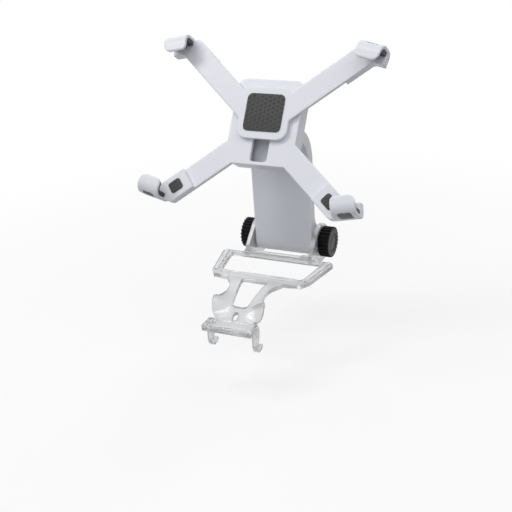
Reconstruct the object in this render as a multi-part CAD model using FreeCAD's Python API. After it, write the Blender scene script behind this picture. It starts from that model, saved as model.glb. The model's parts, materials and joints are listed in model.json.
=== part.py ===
import FreeCAD, Part
import math
import os

# A holding clip: a clear frame hooks over what carries it, an arm with two clamp
# knobs stands on the frame's rear edge, and four sprung claws on an X of bars grip
# a flat thing by its two long edges.
# Millimetres. X is to the right, Y to the back, Z up, square to the clear frame.
# The origin is in the plane of the clear frame's underside, on its middle line.

Vec = FreeCAD.Vector

# Allowances used all over
PAST = 1.0                  # how far a cutting solid runs past the face that it cuts
DEEP = 20.0                 # reach, up and down, of a cut that goes right through the frame
PRESS_GAP = 0.02            # radial gap that stands for a press fit
FACE_GAP = 0.05             # gap between two faces that only touch
SHORTEST = 1e-6             # an edge shorter than this is left out of an outline

# Clear frame
PLATE = 2.4                 # thickness of the clear moulding
REAR_Y = 24.8               # rear edge of the frame
REAR_HALF = 35.4            # half width at the rear edge
NECK_Y = -2.0               # where the side bars reach the front bar
NECK_HALF = 30.0
FRAME_CORNER_R = 3.0
FRONT_BAR_Y = -1.2          # rear edge of the front bar
FRONT_BAR_HALF = 26.0       # half width at its front edge
WINDOW_REAR_Y = 22.0        # large window between the bars
WINDOW_REAR_HALF = 28.6
WINDOW_FRONT_HALF = 25.0
WINDOW_REAR_R = 1.6
WINDOW_FRONT_R = 4.2
RIDGE = 0.8                 # height of the raised line along each bar
RIDGE_WIDTH = 2.2
RIDGE_ROOT = 0.4            # how deep a raised line is set into what carries it
SIDE_RIDGE_Y = (22.6, -1.6)
FRONT_RIDGE_Y = -2.8
FRONT_RIDGE_HALF = 22.6
NOTCH_X = 25.2              # centre of each round notch beside the bridge
NOTCH_Y = -20.6
NOTCH_R = 13.6

# Bridge between the two notches
BRIDGE_Y = -8.0             # where it leaves the front bar and starts to dip
BRIDGE_END_Y = -39.0
BRIDGE_REAR_HALF = 16.6
BRIDGE_HALF = 15.4
BRIDGE_DROP = 9.8           # how far it falls to the latch bar
BRIDGE_SAG = 1.7            # power of the dip along its middle
SHOULDER_Y = -29.0          # its sides stay up as far as here
SHOULDER_RUN = 8.0          # and fall over this length
BRIDGE_HIP = (-33.6, 3.0)   # y and radius of the corner where its sides turn in
BRIDGE_FOOT = (11.75, -36.4, 1.5)   # corner beside the latch bar: half width, y, radius
BRIDGE_FOOT_HALF = 11.35
OPENING_REAR = (7.7, -8.2, 0.8)     # tapered window: half width, y and corner radius
OPENING_FRONT = (4.5, -29.9, 2.4)
SLOT_REAR = (1.4, -33.2, 1.35)      # small slot in front of it, in the same terms
SLOT_FRONT = (1.4, -38.0, 0.4)
BRIDGE_STEPS = 16           # spans each way in the bridge's smooth surface
BRIDGE_OVERSIZE = 1.1       # that surface is wider than the bridge by this factor

# Latch bar with two legs whose feet hook back, under what the frame lies on
LATCH_HALF = 14.75
LATCH_REAR_Y = -38.2
LATCH_FRONT_Y = -48.1
LATCH_TOP_Z = -7.4
LATCH = 3.0
LATCH_CORNER_R = 0.8
LATCH_LINES = ((-46.4, 1.4), (-40.0, 1.0))  # y and width of its two raised lines
LATCH_LINE_HALF = 10.35
LATCH_LINE = 0.7
LEG_WIDTH = 2.8
LEG_Y = (-42.2, -37.4)
LEG_TAPER_Z = -14.0         # each leg narrows below this
LEG_TAPER_R = 1.5
HOOK_BOTTOM_Z = -24.1
HOOK_R = 1.9                # inner bend of the hook at the foot of each leg
HOOK_WIRE = 2.6
HOOK_THROAT = 2.3           # height over the hook at which the leg is as thin as it
HOOK_REACH = 8.4            # from the leg's front to the hook's tip
TIP_LENGTH = 1.8            # rounded end of the hook
TIP_R = 3.0
NIB_WIDTH = 1.6             # nib that stands up at the tip
NIB = 0.6
NIB_R = 0.9
NIB_ROOT = 2.8
NIB_ROOT_R = 1.5

# Hinge at the rear
HINGE_Y = 42.0
HINGE_Z = 7.0
EAR_INNER = 18.55
EAR = 2.6
EAR_R = 10.4
EAR_SHOULDER = (25.2, 6.4, 1.5)     # corners of each ear: y, z and radius
EAR_HEEL = (47.0, -5.6, 1.2)
EAR_TOE = (39.0, -5.6, 1.2)
EAR_ARCH_REAR = (37.4, -2.4, 2.5)
EAR_ARCH_FRONT = (31.2, -0.4, 1.2)
EAR_FRONT = (25.2, 0.4, 0)
FOOT_Y = (22.2, 26.2)       # foot that lies on the rear bar
FOOT_IN = 4.4
FOOT = 1.9
FOOT_R = 0.8
ROD_LINE_Y = 23.6           # rod along the rear bar, from foot to foot
ROD_LINE_R = 1.1
ROD_LINE_INSET = 2.0
WASHER = 0.4
WASHER_R = 6.4
WASHER_BORE_R = 3.8
BOLT_R = 2.0
BOLT_BORE_R = 2.06
SLEEVE_R = 3.2

# Clamp knobs
KNOB_R = 9.1
KNOB_INNER = 21.4
KNOB_OUTER = 28.0
KNOB_RIBS = 24
KNOB_RIB = 0.9              # height of each rib over the drum
KNOB_RIB_FILL = 0.59        # rib radius as a share of half the distance between ribs
KNOB_BORE_R = 2.3
CAP_R = 5.2                 # disc that covers the nut or the bolt head
CAP = 0.8
CAP_SINK = 0.25
NUT_HALF = 3.5              # half the distance across the flats of nut and bolt head
NUT = 3.2
BOLT_SHORT = 0.3            # the bolt ends this far below the right disc's pocket
HEAD_OVERLAP = 1.0

# Screws
SCREW_R = 1.0
SCREW_HEAD_R = 1.9
SCREW_HEAD = 1.1            # depth of the pocket for a head
HEAD_SINK = 0.1             # how far the head lies below the surface
SCREW_GAP = 0.05            # radial room round a screw in the piece that it clamps
CROSS = (2.2, 0.5, 0.5)     # length, width and depth of the cross in a head

# Arm, two shells screwed together
ARM_HALF = 17.9
ARM_FRONT_Y = 33.2
ARM = 6.9                   # thickness of the blade
BARREL_R = 8.8
ARM_BEND_R = 20.0           # radius of the bend along the middle of the blade
ARM_TOP = 120.0             # heights and depths that hold the whole arm
ARM_DEPTH = 90.0
WALL = 1.8
FLARE_R = 9.0               # hollow fillet between the blade's back and the barrel
CORNER_R = 4.0
COVER_HALF = 16.4           # rear cover, set into the front shell
COVER_LOW = 26.0
COVER_LEDGE = 1.2           # ledge that the cover rests on, at its sides
COVER_LEDGE_LOW = 2.0       # and at its lower end
NECK_BLOCK = 4.0            # solid end of the blade, for the screws from the housing
ARM_SCREW_PLACES = [(side * 11.0, z) for side in (1, -1) for z in (31.0, 57.0)]
ARM_SCREW = 3.4
ARM_POST_R = 2.2
POST_ROOT = 0.4             # how deep each post is set into the front wall
POST_FLOOR = 0.8            # depth of post left under its hole

# Holder. Its own frame has x to the right, v up from the lower claws to the upper
# ones and n forwards. Its origin is the middle of the front face that is gripped.
HOLDER_TILT = 33.8          # degrees that the holder leans back
HOLDER_Y = 6.3
HOLDER_Z = 89.6
LOWER_EDGE = 40.9           # distance from the middle to each edge that the claws hold
UPPER_EDGE = 41.9
GRIP_DEPTH = 7.7            # thickness that the claws take
BAR_ANGLE = 39.6            # degrees between each bar of the X and the horizontal
BAR_WIDTH = 12.6
BAR_INNER_R = 3.0           # corners where a bar meets its claw
BAR_OUTER_R = 3.4
CARRIAGE_N = (-10.6, -8.3)  # front layer, the plate that slides
BRACKET_N = (-13.8, -11.0)  # back layer, the plate that is fixed
THICK_START = 50.0          # distance along a bar where it takes the depth of both layers
HUB_HALF = 20.0
HUB_TOP = 27.0
HUB_BOTTOM = -21.0
HUB_CORNER_R = 6.0
CARRIAGE_PLATE = (15.0, 22.0, -7.0)     # half width, top and bottom
HOUSING_N = (-21.0, -13.8)
HOUSING_WALL = 1.8
HOUSING_SCREW_PLACES = [(side * 16.9, v) for side in (1, -1) for v in (23.0, -17.0)]
HOUSING_SCREW = 7.6
HOUSING_POST_R = 2.3
HOUSING_HEAD_N = HOUSING_N[0] + SCREW_HEAD + 0.4
HOLE_FLOOR = 0.6            # plate left over a screw's blind hole
NECK_SCREW_X = (8.0, -8.0)
NECK_SCREW = 4.0
NECK_HEAD_N = HOUSING_N[0] + HOUSING_WALL - SCREW_HEAD
NECK_HOLE = 1.0             # the screw's hole runs this far towards the housing

# Claws
CLAW_X = 56.2
CLAW_TURN = 12.0            # degrees that each claw is turned outwards
CLAW_WIDTH = 13.2
CLAW_OUT = 4.4              # outer face of the shelf beyond the edge that is held
CLAW = 1.8
CLAW_FRONT_N = 3.4
LIP = 6.0                   # how far the lip reaches over the front face
LIP_CORNERS = (3.0, 4.2)    # radii at the lip's inner and outer corner
LIP_EDGE_R = 0.85
CLAW_BEND_R = 6.4
CLAW_BACK_R = 4.2
CLAW_INNER_R = 0.8          # inner corner between the shelf and the claw's back
CLAW_ROOT = 4.0             # how far the claw's back runs in front of its bar
ROOT_CORNER_R = 4.0
ROOT_INSET = 0.4            # the bar stays this far inside the claw's side
HEEL_INSET = 0.9            # and this far inside its outer face
WINDOW_HALF = 3.6           # window through the claw's outer bend
WINDOW_N = (-7.6, 0.6)
WINDOW_R = 1.0
SHELF_LINER = 2.4
LIP_LINER = 1.4
LINER_GAP = 0.03
LINER_SIDE = 0.4            # the liner stays inside the claw's outline by these
LINER_TIP = 1.3
LINER_REAR = 0.6
LINER_EDGE_R = 0.4
PLUG_SINK = 0.25            # the liner's plug lies this far below the window's rim
PLUG_ROOT = 0.5             # and starts inside the liner, this far beyond the held edge

# Slide of the upper claws
SLIDER_V = 8.0              # middle of the slider at rest
SLIDER_HALF_V = 4.0
SLIDER_HALF_X = 14.3
SLIDER_CORNER_R = 0.8
SLIDER_N = (-18.7, -14.3)
SLIDER_SCREW = 6.4
SLIDER_SCREW_V = (SLIDER_V - 2.0, SLIDER_V + 2.0)
SCREW_ROOM = 0.2            # the slider screws' holes stop this far below the plate
TRAVEL_CLOSE = 22.0
TRAVEL_OPEN = 5.0
ROD_X = 12.0
ROD_R = 1.2
ROD_N = -16.5
ROD_BORE_R = 1.25
ROD_SEAT = 0.8              # outer wall left over each end of a rod's hole
BOSS_HALF_X = 4.5
BOSS_HALF_V = 4.0
BOSS_R = 1.0
BOSS_ROOT = 0.1
SLOT_RUN = 0.35             # gap beside the boss in its slot
SLOT_END = 1.0              # room left at each end of its travel
SLOT_R = 1.5
SLOT_TOP = SLIDER_V + BOSS_HALF_V + TRAVEL_OPEN + SLOT_END
SLOT_BOTTOM = SLIDER_V - BOSS_HALF_V - TRAVEL_CLOSE - SLOT_END
SPRING_R = 2.1
SPRING_WIRE_R = 0.3
SPRING_TURNS = 9
SPRING_SEAT = 0.1           # gap between each end turn and what it presses on

# Rubber pads at the back of the grip: half width, top, bottom and corner radius
UPPER_PAD = (11.0, 18.0, -3.0, 3.0)
LOWER_PAD = (3.2, 3.8, -3.8, 1.4)
LOWER_PAD_X = 45.0


def box(x0, x1, y0, y1, z0, z1):
    return Part.makeBox(x1 - x0, y1 - y0, z1 - z0, Vec(x0, y0, z0))


def cylinder(radius, start, end):
    axis = end - start
    return Part.makeCylinder(radius, axis.Length, start, axis)


def rounded_wire(corners):
    """Closed outline in the XY plane from (x, y, corner radius)."""
    count = len(corners)
    runs = []
    for i in range(count):
        here = Vec(corners[i][0], corners[i][1], 0)
        before = (Vec(corners[i - 1][0], corners[i - 1][1], 0) - here).normalize()
        after = (Vec(corners[(i + 1) % count][0], corners[(i + 1) % count][1], 0) - here).normalize()
        radius = corners[i][2]
        half = before.getAngle(after) / 2
        if radius == 0:
            runs.append((here, here, here))
            continue
        setback = radius / math.tan(half)
        middle = here + (before + after).normalize() * (radius / math.sin(half) - radius)
        runs.append((here + before * setback, middle, here + after * setback))
    edges = []
    for i in range(count):
        start, middle, end = runs[i]
        if (end - start).Length > SHORTEST:
            edges.append(Part.Arc(start, middle, end).toShape())
        following = runs[(i + 1) % count][0]
        if (following - end).Length > SHORTEST:
            edges.append(Part.LineSegment(end, following).toShape())
    return Part.Wire(edges)


def slab(corners, low, high):
    """Plate with a rounded outline, from z = low to z = high."""
    face = Part.Face(rounded_wire(corners))
    face.translate(Vec(0, 0, low))
    return face.extrude(Vec(0, 0, high - low))


def stood(solid, x_to, y_to, z_to):
    """The solid turned so that its own axes point along three given ones."""
    turn = FreeCAD.Rotation(x_to, y_to, z_to, "XYZ")
    solid.Placement = FreeCAD.Placement(Vec(0, 0, 0), turn)
    return solid.copy()


def side_plate(corners, low, high):
    """Plate with an outline given as (y, z, corner radius), from x = low to x = high."""
    return stood(slab(corners, low, high), Vec(0, 1, 0), Vec(0, 0, 1), Vec(1, 0, 0))


def mirror_x(shape):
    return shape.mirror(Vec(0, 0, 0), Vec(1, 0, 0))


def mirror_v(shape):
    return shape.mirror(Vec(0, 0, 0), Vec(0, 1, 0))


def both_sides(shape):
    return [shape, mirror_x(shape)]


def mirrored(corners):
    """Whole outline from its right half, which runs from the top down."""
    left = [(-x, y, r) for x, y, r in reversed(corners)]
    return corners + left


def fuse(shapes):
    whole = shapes[0].fuse(shapes[1:]) if len(shapes) > 1 else shapes[0]
    return whole.removeSplitter()


def save(name, shape):
    shape.exportStep(os.path.join("parts", name + ".step"))
    state = "valid" if shape.isValid() else "NOT VALID"
    print(name, len(shape.Solids), round(shape.Volume, 1), state)


# Clear frame

def ease(t):
    """0 to 1 with a soft start and end."""
    return (1 - math.cos(math.pi * min(max(t, 0), 1))) / 2


def bridge_height(x, y):
    """Top of the bridge: it sags along the middle and stays up beside the notches."""
    run = max(BRIDGE_Y - y, 0) / (BRIDGE_Y - BRIDGE_END_Y)
    middle = PLATE - BRIDGE_DROP * min(run, 1) ** BRIDGE_SAG
    shoulder = PLATE - BRIDGE_DROP * ease((SHOULDER_Y - y) / SHOULDER_RUN)
    return middle + (shoulder - middle) * (x / BRIDGE_HALF) ** 2


def bridge():
    rows = []
    span = BRIDGE_OVERSIZE * BRIDGE_HALF
    steps = range(BRIDGE_STEPS + 1)
    for i in steps:
        y = BRIDGE_Y + (BRIDGE_END_Y - BRIDGE_Y) * i / BRIDGE_STEPS
        row_x = [span * (2 * k / BRIDGE_STEPS - 1) for k in steps]
        rows.append([Vec(x, y, bridge_height(x, y)) for x in row_x])
    surface = Part.BSplineSurface()
    surface.interpolate(rows)
    sheet = surface.toShape().extrude(Vec(0, 0, -PLATE))
    outline = mirrored([
        (BRIDGE_REAR_HALF, BRIDGE_Y + PAST, 0),
        (BRIDGE_HALF, BRIDGE_HIP[0], BRIDGE_HIP[1]),
        BRIDGE_FOOT,
        (BRIDGE_FOOT_HALF, BRIDGE_END_Y + 2 * FACE_GAP, 0),
    ])
    return sheet.common(slab(outline, -DEEP, DEEP))


def ridge(start, end, width, height, base):
    """Raised line with round ends."""
    run = (end - start).normalize()
    side = Vec(-run.y, run.x, 0) * (width / 2)
    corners = [start + side, end + side, end - side, start - side]
    root = base - RIDGE_ROOT
    solid = slab([(p.x, p.y, 0) for p in corners], root, base + height)
    ends = [Part.makeCylinder(width / 2, height + RIDGE_ROOT, Vec(p.x, p.y, root)) for p in (start, end)]
    return fuse([solid] + ends)


def surround():
    """Bars round the large window, with a raised line along three of them."""
    outline = mirrored([
        (REAR_HALF, REAR_Y, FRAME_CORNER_R),
        (NECK_HALF, NECK_Y, FRAME_CORNER_R),
        (FRONT_BAR_HALF, BRIDGE_Y, 0),
    ])
    window = mirrored([
        (WINDOW_REAR_HALF, WINDOW_REAR_Y, WINDOW_REAR_R),
        (WINDOW_FRONT_HALF, FRONT_BAR_Y, WINDOW_FRONT_R),
    ])
    plate = slab(outline, 0, PLATE).cut(slab(window, -PAST, PLATE + PAST))
    rear_x = (REAR_HALF + WINDOW_REAR_HALF) / 2
    front_x = (NECK_HALF + WINDOW_FRONT_HALF) / 2
    lines = []
    for side in (1, -1):
        rear = Vec(side * rear_x, SIDE_RIDGE_Y[0], 0)
        front = Vec(side * front_x, SIDE_RIDGE_Y[1], 0)
        lines.append(ridge(rear, front, RIDGE_WIDTH, RIDGE, PLATE))
    left = Vec(-FRONT_RIDGE_HALF, FRONT_RIDGE_Y, 0)
    right = Vec(FRONT_RIDGE_HALF, FRONT_RIDGE_Y, 0)
    lines.append(ridge(left, right, RIDGE_WIDTH, RIDGE, PLATE))
    return [plate] + lines


def latch_bar():
    plate = slab(mirrored([
        (LATCH_HALF, LATCH_REAR_Y, LATCH_CORNER_R),
        (LATCH_HALF, LATCH_FRONT_Y, LATCH_CORNER_R),
    ]), LATCH_TOP_Z - LATCH, LATCH_TOP_Z)
    lines = []
    for y, width in LATCH_LINES:
        left = Vec(-LATCH_LINE_HALF, y, 0)
        right = Vec(LATCH_LINE_HALF, y, 0)
        lines.append(ridge(left, right, width, LATCH_LINE, LATCH_TOP_Z))
    return [plate] + lines


def leg():
    """Right leg: a tapered strip down from the latch bar, with a foot that hooks back."""
    front, rear = LEG_Y
    root = LATCH_TOP_Z - LATCH / 2
    inner = front + HOOK_WIRE
    foot_top = HOOK_BOTTOM_Z + HOOK_WIRE
    tip = front + HOOK_REACH
    return side_plate([
        (rear, root, 0),
        (front, root, 0),
        (front, HOOK_BOTTOM_Z, HOOK_R + HOOK_WIRE),
        (tip - TIP_LENGTH, HOOK_BOTTOM_Z, TIP_R),
        (tip, foot_top, NIB_R),
        (tip - NIB_WIDTH, foot_top + NIB, NIB_R),
        (tip - NIB_ROOT, foot_top, NIB_ROOT_R),
        (inner, foot_top, HOOK_R),
        (inner, foot_top + HOOK_THROAT, 0),
        (rear, LEG_TAPER_Z, LEG_TAPER_R),
    ], LATCH_HALF - LEG_WIDTH, LATCH_HALF)


def controller_frame():
    whole = fuse(surround() + [bridge()] + latch_bar() + both_sides(leg()))
    for side in (1, -1):
        notch = Part.makeCylinder(NOTCH_R, 2 * DEEP, Vec(side * NOTCH_X, NOTCH_Y, -DEEP))
        whole = whole.cut(notch)
    opening = mirrored([OPENING_REAR, OPENING_FRONT])
    slot = mirrored([SLOT_REAR, SLOT_FRONT])
    return whole.cut(slab(opening, -DEEP, DEEP)).cut(slab(slot, -DEEP, DEEP))


# Hinge yoke: two ears on a rod that lies on the rear bar of the frame

def tangent_point(point, centre, radius, side):
    """Where the tangent from a point touches a circle; all in (y, z)."""
    dy = point[0] - centre[0]
    dz = point[1] - centre[1]
    turn = side * math.acos(radius / math.hypot(dy, dz))
    angle = math.atan2(dz, dy) + turn
    return (centre[0] + radius * math.cos(angle), centre[1] + radius * math.sin(angle), 0)


def ear():
    """Right ear: a clear plate round the bolt, with an arch between its two feet."""
    centre = (HINGE_Y, HINGE_Z, 0)
    web = side_plate([
        EAR_SHOULDER,
        tangent_point(EAR_SHOULDER, centre, EAR_R, -1),
        centre,
        tangent_point(EAR_HEEL, centre, EAR_R, 1),
        EAR_HEEL,
        EAR_TOE,
        EAR_ARCH_REAR,
        EAR_ARCH_FRONT,
        EAR_FRONT,
    ], EAR_INNER, EAR_INNER + EAR)
    foot = slab([
        (EAR_INNER - FOOT_IN, FOOT_Y[1], FOOT_R),
        (EAR_INNER - FOOT_IN, FOOT_Y[0], FOOT_R),
        (EAR_INNER + EAR, FOOT_Y[0], FOOT_R),
        (EAR_INNER + EAR, FOOT_Y[1], 0),
    ], PLATE, PLATE + FOOT)
    disc = on_axis(EAR_R, EAR_INNER, EAR_INNER + EAR)
    return fuse([web, disc, foot]).cut(on_axis(BOLT_BORE_R, EAR_INNER - PAST, EAR_INNER + EAR + PAST))


def hinge_yoke():
    reach = EAR_INNER - ROD_LINE_INSET
    height = PLATE + ROD_LINE_R
    rod = cylinder(ROD_LINE_R, Vec(-reach, ROD_LINE_Y, height), Vec(reach, ROD_LINE_Y, height))
    return fuse(both_sides(ear()) + [rod])


# Hinge hardware

def on_axis(radius, start, end):
    """Cylinder on the hinge axis from x = start to x = end."""
    return cylinder(radius, Vec(start, HINGE_Y, HINGE_Z), Vec(end, HINGE_Y, HINGE_Z))


def hexagon(half, start, end):
    """Six-sided bar along the hinge axis; half is half the distance across the flats."""
    corner = half / math.cos(math.pi / 6)
    corners = []
    for i in range(6):
        angle = i * math.pi / 3
        corners.append((HINGE_Y + corner * math.cos(angle), HINGE_Z + corner * math.sin(angle), 0))
    return side_plate(corners, start, end)


def friction_washers():
    inner, outer = EAR_INNER - WASHER, EAR_INNER - FACE_GAP
    washer = on_axis(WASHER_R, inner, outer).cut(on_axis(WASHER_BORE_R, inner - PAST, outer + PAST))
    return Part.Compound(both_sides(washer))


def pivot_sleeve():
    bore = on_axis(BOLT_BORE_R, -ARM_HALF - PAST, ARM_HALF + PAST)
    return on_axis(SLEEVE_R, -ARM_HALF, ARM_HALF).cut(bore)


def knob_shell():
    """Right knob: rounded ribs round a drum, a recess for the end disc and a nut pocket."""
    drum = on_axis(KNOB_R - KNOB_RIB, KNOB_INNER, KNOB_OUTER)
    rib_r = math.pi * KNOB_R / KNOB_RIBS * KNOB_RIB_FILL
    reach = KNOB_R - rib_r
    ribs = []
    for i in range(KNOB_RIBS):
        angle = i * 2 * math.pi / KNOB_RIBS
        y = HINGE_Y + reach * math.cos(angle)
        z = HINGE_Z + reach * math.sin(angle)
        ribs.append(cylinder(rib_r, Vec(KNOB_INNER, y, z), Vec(KNOB_OUTER, y, z)))
    body = fuse([drum] + ribs)
    pocket = KNOB_OUTER - CAP
    body = body.cut(on_axis(CAP_R + PRESS_GAP, pocket, KNOB_OUTER + PAST))
    body = body.cut(on_axis(KNOB_BORE_R, KNOB_INNER - PAST, KNOB_OUTER + PAST))
    return body.cut(hexagon(NUT_HALF + PRESS_GAP, pocket - NUT, KNOB_OUTER))


def knob_cap():
    return on_axis(CAP_R, KNOB_OUTER - CAP + PRESS_GAP, KNOB_OUTER - CAP_SINK)


def knob_nut():
    end = KNOB_OUTER - CAP - PRESS_GAP
    start = end - NUT + 2 * PRESS_GAP
    return hexagon(NUT_HALF, start, end).cut(on_axis(BOLT_BORE_R, start - PAST, end + PAST))


def pivot_bolt():
    """Bolt with its six-sided head in the left knob and its thread end in the right one."""
    head_start = -(KNOB_OUTER - CAP - PRESS_GAP)
    head = hexagon(NUT_HALF, head_start, head_start + NUT - 2 * PRESS_GAP)
    shank = on_axis(BOLT_R, head_start + NUT - HEAD_OVERLAP, KNOB_OUTER - CAP - BOLT_SHORT)
    return fuse([head, shank])


# Arm

def neck_end():
    """Where the blade stops being straight, and how long it runs after its bend."""
    turn = math.radians(90 - HOLDER_TILT)
    middle = ARM_FRONT_Y + ARM / 2
    back_y = HOLDER_Y - HOUSING_N[0] * math.sin(turn)
    back_z = HOLDER_Z + HOUSING_N[0] * math.cos(turn)
    run = (middle - back_y - ARM_BEND_R * (1 - math.cos(turn))) / math.sin(turn)
    bend_z = back_z - ARM_BEND_R * math.sin(turn) - run * math.cos(turn)
    return bend_z, run


def blade(front, back, low, short):
    """Side view of the blade between two depths, as a face in the YZ plane."""
    turn = math.radians(90 - HOLDER_TILT)
    bend_z, run = neck_end()
    centre_y = ARM_FRONT_Y + ARM / 2 - ARM_BEND_R

    def at(depth, angle, along):
        radius = ARM_FRONT_Y + depth - centre_y
        y = centre_y + radius * math.cos(angle) - along * math.sin(angle)
        z = bend_z + radius * math.sin(angle) + along * math.cos(angle)
        return Vec(0, y, z)

    end = run - short
    points = [at(depth, angle, along) for depth in (front, back)
              for angle, along in ((0, 0), (turn / 2, 0), (turn, 0), (turn, end))]
    foot_front = Vec(0, ARM_FRONT_Y + front, low)
    foot_back = Vec(0, ARM_FRONT_Y + back, low)
    edges = [
        Part.LineSegment(foot_front, points[0]),
        Part.Arc(points[0], points[1], points[2]),
        Part.LineSegment(points[2], points[3]),
        Part.LineSegment(points[3], points[7]),
        Part.LineSegment(points[7], points[6]),
        Part.Arc(points[6], points[5], points[4]),
        Part.LineSegment(points[4], foot_back),
        Part.LineSegment(foot_back, foot_front),
    ]
    return Part.Face(Part.Wire([edge.toShape() for edge in edges]))


def blade_solid(front, back, low, short, half):
    face = blade(front, back, low, short)
    face.translate(Vec(-half, 0, 0))
    return face.extrude(Vec(2 * half, 0, 0))


def flare():
    """Fills the hollow corner between the blade's back and the barrel."""
    back_y = ARM_FRONT_Y + ARM
    centre_y = back_y + FLARE_R
    rise = math.sqrt((BARREL_R + FLARE_R) ** 2 - (centre_y - HINGE_Y) ** 2)
    share = BARREL_R / (BARREL_R + FLARE_R)
    touch_y = HINGE_Y + (centre_y - HINGE_Y) * share
    touch_z = HINGE_Z + rise * share
    side = ARM_HALF + PAST
    top = HINGE_Z + rise + PAST
    block = box(-ARM_HALF, ARM_HALF, back_y - PAST, touch_y, HINGE_Z, HINGE_Z + rise)
    hollow = cylinder(FLARE_R, Vec(-side, centre_y, HINGE_Z + rise), Vec(side, centre_y, HINGE_Z + rise))
    beyond = box(-side, side, touch_y, centre_y + PAST, touch_z, top)
    return block.cut(hollow).cut(beyond)


def arm_outer():
    """Outside of the closed arm, its lower corners rounded as seen from the front."""
    barrel = on_axis(BARREL_R, -ARM_HALF, ARM_HALF)
    whole = fuse([barrel, blade_solid(0, ARM, HINGE_Z, 0, ARM_HALF), flare()])
    low = HINGE_Z - BARREL_R
    front_view = slab([
        (-ARM_HALF, ARM_TOP, 0),
        (-ARM_HALF, low, CORNER_R),
        (ARM_HALF, low, CORNER_R),
        (ARM_HALF, ARM_TOP, 0),
    ], 0, ARM_DEPTH)
    front_view = stood(front_view, Vec(1, 0, 0), Vec(0, 0, 1), Vec(0, -1, 0))
    front_view.translate(Vec(0, ARM_DEPTH, 0))
    return whole.common(front_view)


def arm_front_shell():
    cavity = blade_solid(WALL, ARM - WALL, COVER_LOW + COVER_LEDGE_LOW, NECK_BLOCK, COVER_HALF - COVER_LEDGE)
    pocket = blade_solid(ARM - WALL - PRESS_GAP / 2, ARM + PAST, COVER_LOW, -PAST, COVER_HALF)
    bore = on_axis(SLEEVE_R + PRESS_GAP, -ARM_HALF - PAST, ARM_HALF + PAST)
    shell = arm_outer().cut(cavity).cut(pocket).cut(bore)
    posts = []
    for x, z in ARM_SCREW_PLACES:
        start = Vec(x, ARM_FRONT_Y + WALL - POST_ROOT, z)
        end = Vec(x, ARM_FRONT_Y + ARM - WALL - PRESS_GAP, z)
        hole = cylinder(SCREW_R, start + Vec(0, POST_FLOOR, 0), end)
        posts.append(cylinder(ARM_POST_R, start, end).cut(hole))
    shell = fuse([shell] + posts)
    for x in NECK_SCREW_X:
        hole = cylinder(SCREW_R, Vec(x, 0, NECK_HEAD_N - NECK_SCREW), Vec(x, 0, HOUSING_N[0] + NECK_HOLE))
        shell = shell.cut(set_on_arm(hole))
    return shell


def arm_rear_cover():
    cover = blade_solid(ARM - WALL, ARM, COVER_LOW + FACE_GAP, 0, COVER_HALF - FACE_GAP)
    back_y = ARM_FRONT_Y + ARM
    for x, z in ARM_SCREW_PLACES:
        head = Vec(x, back_y - SCREW_HEAD, z)
        cover = cover.cut(cylinder(SCREW_R + SCREW_GAP, head - Vec(0, WALL, 0), head))
        cover = cover.cut(cylinder(SCREW_HEAD_R + SCREW_GAP, head, head + Vec(0, SCREW_HEAD + PAST, 0)))
    return cover


def screw(head_base, direction, length):
    """Pan-head screw: a shank along the direction, the head behind its base, a cross in it."""
    shank = cylinder(SCREW_R - PRESS_GAP, head_base, head_base + direction * length)
    head_top = head_base - direction * (SCREW_HEAD - HEAD_SINK)
    whole = fuse([shank, cylinder(SCREW_HEAD_R, head_top, head_base)])
    long, wide, depth = CROSS
    for bar in (Vec(1, 0, 0), direction.cross(Vec(1, 0, 0)).normalize()):
        along = bar * (long / 2)
        across = direction.cross(bar) * (wide / 2)
        middle = head_top + direction * depth
        corners = [middle - along - across, middle + along - across, middle + along + across,
                   middle - along + across, middle - along - across]
        face = Part.Face(Part.makePolygon(corners))
        whole = whole.cut(face.extrude(direction * -(depth + PAST)))
    return whole


def arm_screws():
    head_y = ARM_FRONT_Y + ARM - SCREW_HEAD
    return Part.Compound([screw(Vec(x, head_y, z), Vec(0, -1, 0), ARM_SCREW) for x, z in ARM_SCREW_PLACES])


# Holder, drawn in its own frame and then set on the arm

def set_on_arm(shape):
    turned = shape.copy()
    tilt = FreeCAD.Rotation(Vec(1, 0, 0), 90 - HOLDER_TILT)
    turned.Placement = FreeCAD.Placement(Vec(0, HOLDER_Y, HOLDER_Z), tilt).multiply(turned.Placement)
    return turned


def claw_strip(outline, half):
    """Bent strip from its side view (outward, n, corner radius), as wide as 2 * half."""
    return stood(slab(outline, -half, half), Vec(0, -1, 0), Vec(0, 0, 1), Vec(-1, 0, 0))


def lip_outline(inset, low):
    """Block with the front view of a claw, smaller by an inset, from n = low forwards."""
    half = CLAW_WIDTH / 2 - inset
    inner_r, outer_r = LIP_CORNERS
    outer_v = -CLAW_OUT - PAST
    return slab([
        (-half, LIP - inset, inner_r - inset),
        (half, LIP - inset, outer_r - inset),
        (half, outer_v, 0),
        (-half, outer_v, 0),
    ], low, CLAW_FRONT_N + PAST)


def window_post(gap, root):
    """Block that fills the claw's window but for a gap all round it, from root outwards."""
    half = WINDOW_HALF - gap
    rear, front = WINDOW_N[0] + gap, WINDOW_N[1] - gap
    post = slab([
        (-half, rear, WINDOW_R),
        (half, rear, WINDOW_R),
        (half, front, WINDOW_R),
        (-half, front, WINDOW_R),
    ], root, CLAW_OUT + PAST)
    return stood(post, Vec(1, 0, 0), Vec(0, 0, 1), Vec(0, -1, 0))


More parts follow.
